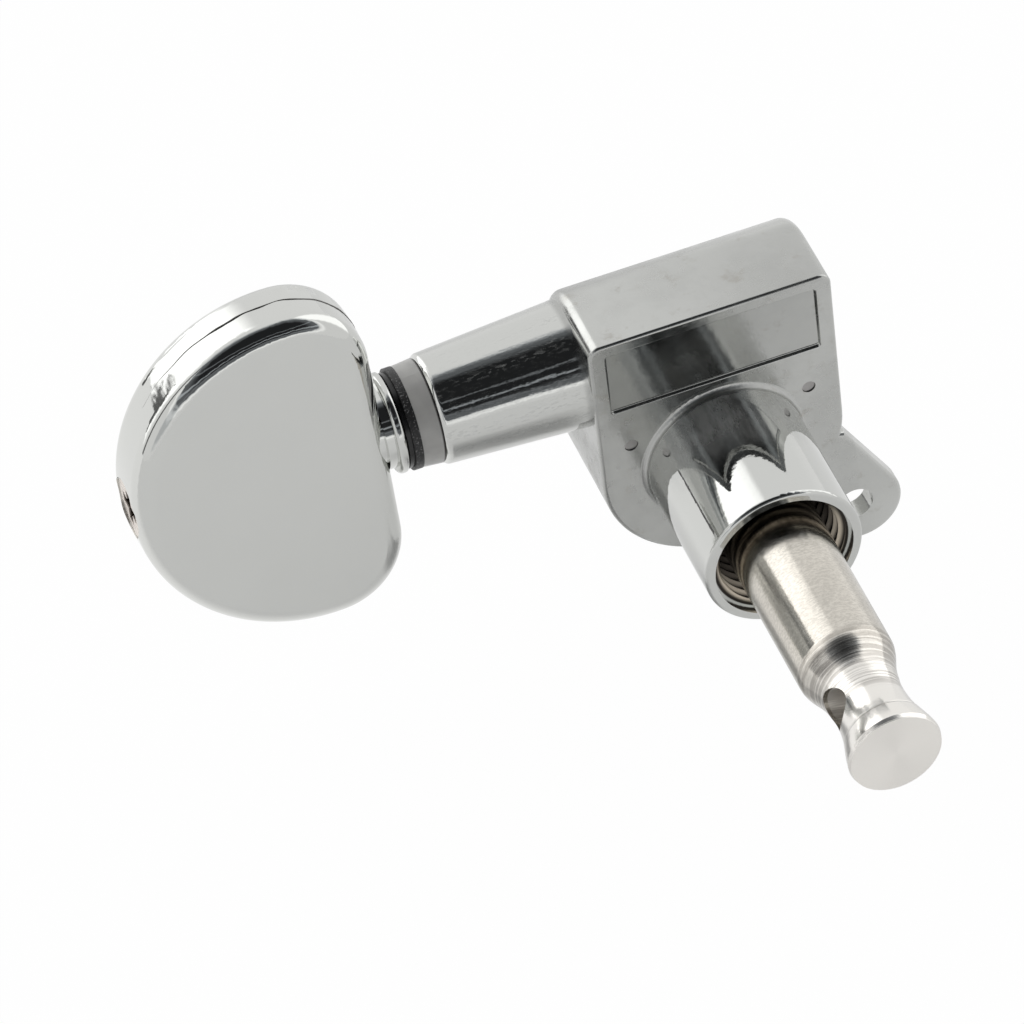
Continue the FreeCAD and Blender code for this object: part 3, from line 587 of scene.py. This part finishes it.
def plain(name, colour, roughness, metallic=0.0):
    """One colour, a little clouded, with a fine grain."""
    made, nodes = material(name)
    place = nodes.place()
    clouds = nodes.ramp(nodes.noise(place, *PLAIN_CLOUDS), *WIDE)
    finish_surface(
        nodes, metallic=metallic, roughness=roughness,
        base_color=nodes.colour_mix(clouds, shaded(colour, PLAIN_CLOUDED), shaded(colour)),
        normal=nodes.bump(nodes.relief(place, *PLAIN_GRAIN)))
    return made


def pale_nylon():
    """Pale nylon, with a dark seam where its flange meets the barrel."""
    made, nodes = material("pale_nylon")
    place = nodes.place()
    seam = nodes.ramp(nodes.split(place)["X"], *NYLON_SEAM)
    clouds = nodes.ramp(nodes.noise(place, *PLAIN_CLOUDS), *WIDE)
    colour = nodes.colour_mix(clouds, *map(shaded, NYLON))
    finish_surface(
        nodes, base_color=nodes.colour_mix(seam, colour, shaded(NYLON_DIRT)),
        roughness=0.28, normal=nodes.bump(nodes.relief(place, *NYLON_GRAIN)))
    return made


def sunk_zinc():
    """Yellowish zinc on the knob's screw, dark inside the driver recess."""
    made, nodes = material("sunk_zinc")
    place = nodes.place()
    deep = nodes.ramp(nodes.split(place)["X"], *SCREW_RECESS)
    clouds = nodes.ramp(nodes.noise(place, *ZINC_CLOUDS), *WIDE)
    colour = nodes.colour_mix(clouds, *map(shaded, ZINC))
    finish_surface(
        nodes, base_color=nodes.colour_mix(deep, colour, shaded(ZINC_SHADE)),
        metallic=0.6, roughness=0.36, normal=nodes.bump(nodes.relief(place, *ZINC_GRAIN)))
    return made


def speckled_rubber():
    """Black rubber with pale flakes in it."""
    made, nodes = material("speckled_rubber")
    place = nodes.place()
    flakes = nodes.ramp(nodes.noise(place, *RUBBER_FLAKES), *FLAKE_RANGE)
    finish_surface(
        nodes, base_color=nodes.colour_mix(flakes, shaded(RUBBER), shaded(FLAKE)),
        roughness=0.45, normal=nodes.bump(nodes.relief(place, *RUBBER_GRAIN)))
    return made


def dress(made, *node_names):
    for name in node_names:
        for slot in frame["nodes"][name].material_slots:
            slot.material = made


def dress_nodes():
    dress(casting_plate(), "housing")
    dress(knob_plate(), "knob")
    dress(bright_plate(), "back_cover", "collar_washer")
    dress(turned_nickel(), "string_post")
    dress(sunk_zinc(), "knob_screw")
    dress(pale_nylon(), "barrel_bush")
    dress(speckled_rubber(), "friction_washer")
    dress(plain("black_spring", (0.008, 0.008, 0.008), 0.25), "spring_washer")
    dress(plain("wheel_brass", (0.60, 0.40, 0.16), 0.3, 1.0), "worm_wheel")
    dress(plain("oiled_bronze", (0.07, 0.05, 0.035), 0.35, 1.0), "post_bush")
    dress(plain("bush_bronze", (0.30, 0.20, 0.12), 0.4, 1.0), "end_bush", "inner_bush")
    dress(plain("oiled_steel", (0.42, 0.41, 0.40), 0.3, 1.0),
          "worm_shaft", "gear_washer", "gear_screw", "cover_pins")
    dress(plain("seal_rubber", (0.015, 0.015, 0.015), 0.6),
          "post_seal", "shaft_seal", "cover_gasket")
    dress(plain("white_nylon", (0.70, 0.69, 0.65), 0.45),
          "post_thrust_washer", "worm_thrust_washer")


def knob_surface():
    """The knob's surface at rest, for finding points on it."""
    knob = frame["nodes"]["knob"]
    points = [knob.matrix_world @ vertex.co for vertex in knob.data.vertices]
    return BVHTree.FromPolygons(points, [face.vertices[:] for face in knob.data.polygons])


def rim_points(surface, side):
    """Points round one half of the rim, near the middle of the knob's thickness."""
    high = Vector((0.0, math.sin(KNOB_TURN), math.cos(KNOB_TURN))) * side
    through = Vector((0.0, -math.cos(KNOB_TURN), math.sin(KNOB_TURN)))
    width = KNOB_HIGH.x - KNOB_LOW.x
    middle = Vector((KNOB_LOW.x + width * SEAM_DEPTH, SHAFT.y, SHAFT.z))
    found = []
    for step in range(SEAM_STEPS + 1):
        angle = SEAM_FROM + (SEAM_TO - SEAM_FROM) * step / SEAM_STEPS
        outward = Vector((math.cos(angle), 0.0, 0.0)) + high * math.sin(angle)
        drift = through * SEAM_WANDER * smooth_noise(outward * SEAM_WANDERS)
        hit = surface.ray_cast(middle + drift + outward * width * 2, -outward)[0]
        fade = min(angle - SEAM_FROM, SEAM_TO - angle) / SEAM_FADE
        swell = 1 + SEAM_SWELL * smooth_noise(outward * SEAM_SWELLS)
        radius = SEAM_RADIUS * min(max(fade, SEAM_THINNEST), 1.0) * swell
        found.append((hit, outward, through, radius))
    return found


def knob_parting_line(surface):
    """The fine ridge that the mould leaves round the rim, one tube on each half."""
    mesh = bmesh.new()
    for side in (1, -1):
        rings = []
        for hit, outward, through, radius in rim_points(surface, side):
            ring = []
            for corner in range(SEAM_SIDES):
                turn = 2 * math.pi * corner / SEAM_SIDES
                ring.append(mesh.verts.new(
                    hit + (outward * math.cos(turn) + through * math.sin(turn)) * radius))
            rings.append(ring)
        for ring, after in zip(rings, rings[1:]):
            for corner in range(SEAM_SIDES):
                beside = (corner + 1) % SEAM_SIDES
                mesh.faces.new((ring[corner], ring[beside], after[beside], after[corner]))
        mesh.faces.new(rings[0])
        mesh.faces.new(rings[-1][::-1])
    bmesh.ops.recalc_face_normals(mesh, faces=mesh.faces)
    for face in mesh.faces:
        face.smooth = True
    data = bpy.data.meshes.new("knob_parting_line")
    mesh.to_mesh(data)
    mesh.free()
    # The ridge is coloured dark as painted shade
    data.materials.append(plain("seam_painted_shade", (0.16, 0.155, 0.15), 0.3, 1.0))
    made = bpy.data.objects.new("knob_parting_line", data)
    bpy.context.scene.collection.objects.link(made)
    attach(made, "knob_and_worm")


def opening_middle():
    """The direction of the middle of the tent's opening."""
    turn, rise = math.radians(OPENING_BEARING), math.radians(OPENING_HEIGHT)
    return (math.sin(turn) * math.cos(rise), math.cos(turn) * math.cos(rise), math.sin(rise))


def studio():
    """A white tent with a dark opening round the camera and a lamp on each side behind."""
    world = bpy.data.worlds.new("studio")
    bpy.context.scene.world = world
    world.use_nodes = True
    nodes = Nodes(world.node_tree)
    direction = nodes.add("ShaderNodeTexCoord").outputs["Generated"]
    across, along, up = nodes.split(direction)
    degrees = math.degrees(1.0)
    height = nodes.times(nodes.math("ARCSINE", up), degrees)
    bearing = nodes.times(nodes.math("ARCTAN2", across, along), degrees)
    facing = nodes.add("ShaderNodeVectorMath", {0: direction, 1: opening_middle()},
                       operation="DOT_PRODUCT").outputs["Value"]
    spread = nodes.times(nodes.math("ARCCOSINE", facing), degrees)
    behind = nodes.ramp(along, *BEHIND)
    in_front = nodes.rest(behind)

    wing = nodes.times(nodes.window(bearing, *WING_BEARINGS),
                       nodes.window(height, *WING_HEIGHTS), WING_SHARE)
    outside = nodes.mix(behind, nodes.ramp(spread, *OPENING_EDGE),
                        nodes.ramp(spread, *OPENING_EDGE_BEHIND))
    outside = nodes.times(outside, nodes.rest(wing))

    tent = nodes.mix(behind, TENT_FRONT, TENT)
    tent = nodes.plus(
        tent, nodes.times(in_front, nodes.window(spread, *COLLAR_BAND), COLLAR_EXTRA))
    left = nodes.times(nodes.ramp(bearing, *LEFT_LAMP_START), nodes.fall(bearing, *LEFT_LAMP_END),
                       nodes.fall(height, *LEFT_LAMP_TOP))
    right = nodes.times(nodes.window(bearing, *RIGHT_LAMP_BEARINGS),
                        nodes.window(height, *RIGHT_LAMP_HEIGHTS))
    gap = nodes.times(nodes.window(bearing, *GAP_BEARINGS), nodes.ramp(height, *GAP_FOOT))
    rags = nodes.times(nodes.math("SUBTRACT", nodes.noise(direction, *PATCH_RAGS), 0.5),
                       PATCH_RAG_DEGREES)
    patch = nodes.times(nodes.window(nodes.plus(bearing, rags), *PATCH_BEARINGS),
                        nodes.window(nodes.plus(height, rags), *PATCH_HEIGHTS))
    for region, level in ((left, LEFT_LAMP), (right, RIGHT_LAMP), (gap, GAP), (patch, PATCH)):
        tent = nodes.mix(region, tent, level)

    rails = nodes.plus(*(nodes.times(nodes.window(height, low, high, RAIL_SOFTNESS), level)
                         for low, high, level in RAILS))
    room = nodes.plus(nodes.ramp(spread, *OPENING_CORE, *OPENING_LEVELS),
                      nodes.times(in_front, rails))
    seen = nodes.add("ShaderNodeLightPath").outputs["Is Camera Ray"]
    tint = nodes.colour_mix(outside, OPENING_TINT, grey(1.0))
    background = nodes.add("ShaderNodeBackground", {
        "Color": nodes.colour_mix(seen, tint, grey(1.0)),
        "Strength": nodes.mix(seen, nodes.mix(outside, room, tent), 1.0)})
    nodes.add("ShaderNodeOutputWorld", {"Surface": background.outputs[0]})


def card_white(nodes):
    """The share of plain white: nearly all of it to the eye, and by place in a mirror, where less
    white near the object and none under the barrel is painted shade, and more white far behind is
    painted light.
    """
    ray = nodes.add("ShaderNodeLightPath").outputs
    mirrored = nodes.either(ray["Is Glossy Ray"], ray["Is Transmission Ray"])
    place = nodes.split(nodes.place())
    across, along = place["X"], place["Y"]
    # Painted light: far behind on the left and right, the card shows more plain white in a mirror
    left_back = nodes.times(nodes.ramp(across, *LEFT_BACK_ACROSS),
                            nodes.ramp(along, *LEFT_BACK_ALONG))
    right_back = nodes.times(nodes.ramp(across, *RIGHT_BACK_ACROSS),
                             nodes.ramp(along, *RIGHT_BACK_ALONG), RIGHT_BACK_SHARE)
    far = nodes.either(left_back, right_back)
    # Painted shadow under the barrel: there the card shows no plain white in a mirror
    painted_shadow_under_barrel = nodes.times(nodes.window(across, *BARREL_SHADE_ACROSS),
                               nodes.ramp(along, *BARREL_SHADE_START),
                               nodes.fall(along, *BARREL_SHADE_END))
    near = nodes.times(nodes.rest(painted_shadow_under_barrel), CARD_NEAR_WHITE)
    return nodes.either(nodes.times(ray["Is Camera Ray"], CARD_SEEN_WHITE),
                        nodes.times(mirrored, nodes.mix(far, near, CARD_FAR_WHITE)))


def card():
    """The white card that the object lies on; from below it is clear."""
    z = min(CASING_LOW.z, KNOB_LOW.z) - CARD_DROP
    corners = [(-CARD_REACH, -CARD_REACH, z), (CARD_REACH, -CARD_REACH, z),
               (CARD_REACH, CARD_REACH, z), (-CARD_REACH, CARD_REACH, z)]
    mesh = bpy.data.meshes.new("pale_card")
    mesh.from_pydata(corners, [], [(0, 1, 2, 3)])
    made = bpy.data.objects.new("pale_card", mesh)
    bpy.context.scene.collection.objects.link(made)
    paper, nodes = material("pale_card")
    matt = nodes.add("ShaderNodeBsdfDiffuse", {"Color": grey(CARD_COLOUR)})
    white = nodes.add("ShaderNodeEmission", {"Color": grey(1.0), "Strength": 1.0})
    top = nodes.add("ShaderNodeMixShader",
                    {0: card_white(nodes), 1: matt.outputs[0], 2: white.outputs[0]})
    clear = nodes.add("ShaderNodeBsdfTransparent")
    below = nodes.add("ShaderNodeNewGeometry").outputs["Backfacing"]
    both = nodes.add("ShaderNodeMixShader", {0: below, 1: top.outputs[0], 2: clear.outputs[0]})
    nodes.add("ShaderNodeOutputMaterial", {"Surface": both.outputs[0]})
    mesh.materials.append(paper)


def camera():
    """The camera, at the photograph's place and angle."""
    heading, drop, roll = map(math.radians, (CAMERA_HEADING, CAMERA_DROP, CAMERA_ROLL))
    forward = Vector((math.sin(heading) * math.cos(drop), math.cos(heading) * math.cos(drop),
                      -math.sin(drop)))
    level_right = Vector((math.cos(heading), -math.sin(heading), 0.0))
    level_up = level_right.cross(forward)
    right = level_right * math.cos(roll) + level_up * math.sin(roll)
    up = right.cross(forward)
    lens = bpy.data.cameras.new("camera")
    lens.lens = LENS
    lens.sensor_width = SENSOR
    lens.clip_start, lens.clip_end = CAMERA_CLIP
    made = bpy.data.objects.new("camera", lens)
    turn = Matrix((right, up, -forward)).transposed().to_4x4()
    made.matrix_world = Matrix.Translation(CAMERA_PLACE) @ turn
    bpy.context.scene.collection.objects.link(made)
    bpy.context.scene.camera = made


camera()
studio()
card()
dress_nodes()
knob_parting_line(knob_surface())
bpy.context.scene.view_settings.view_transform = "Standard"
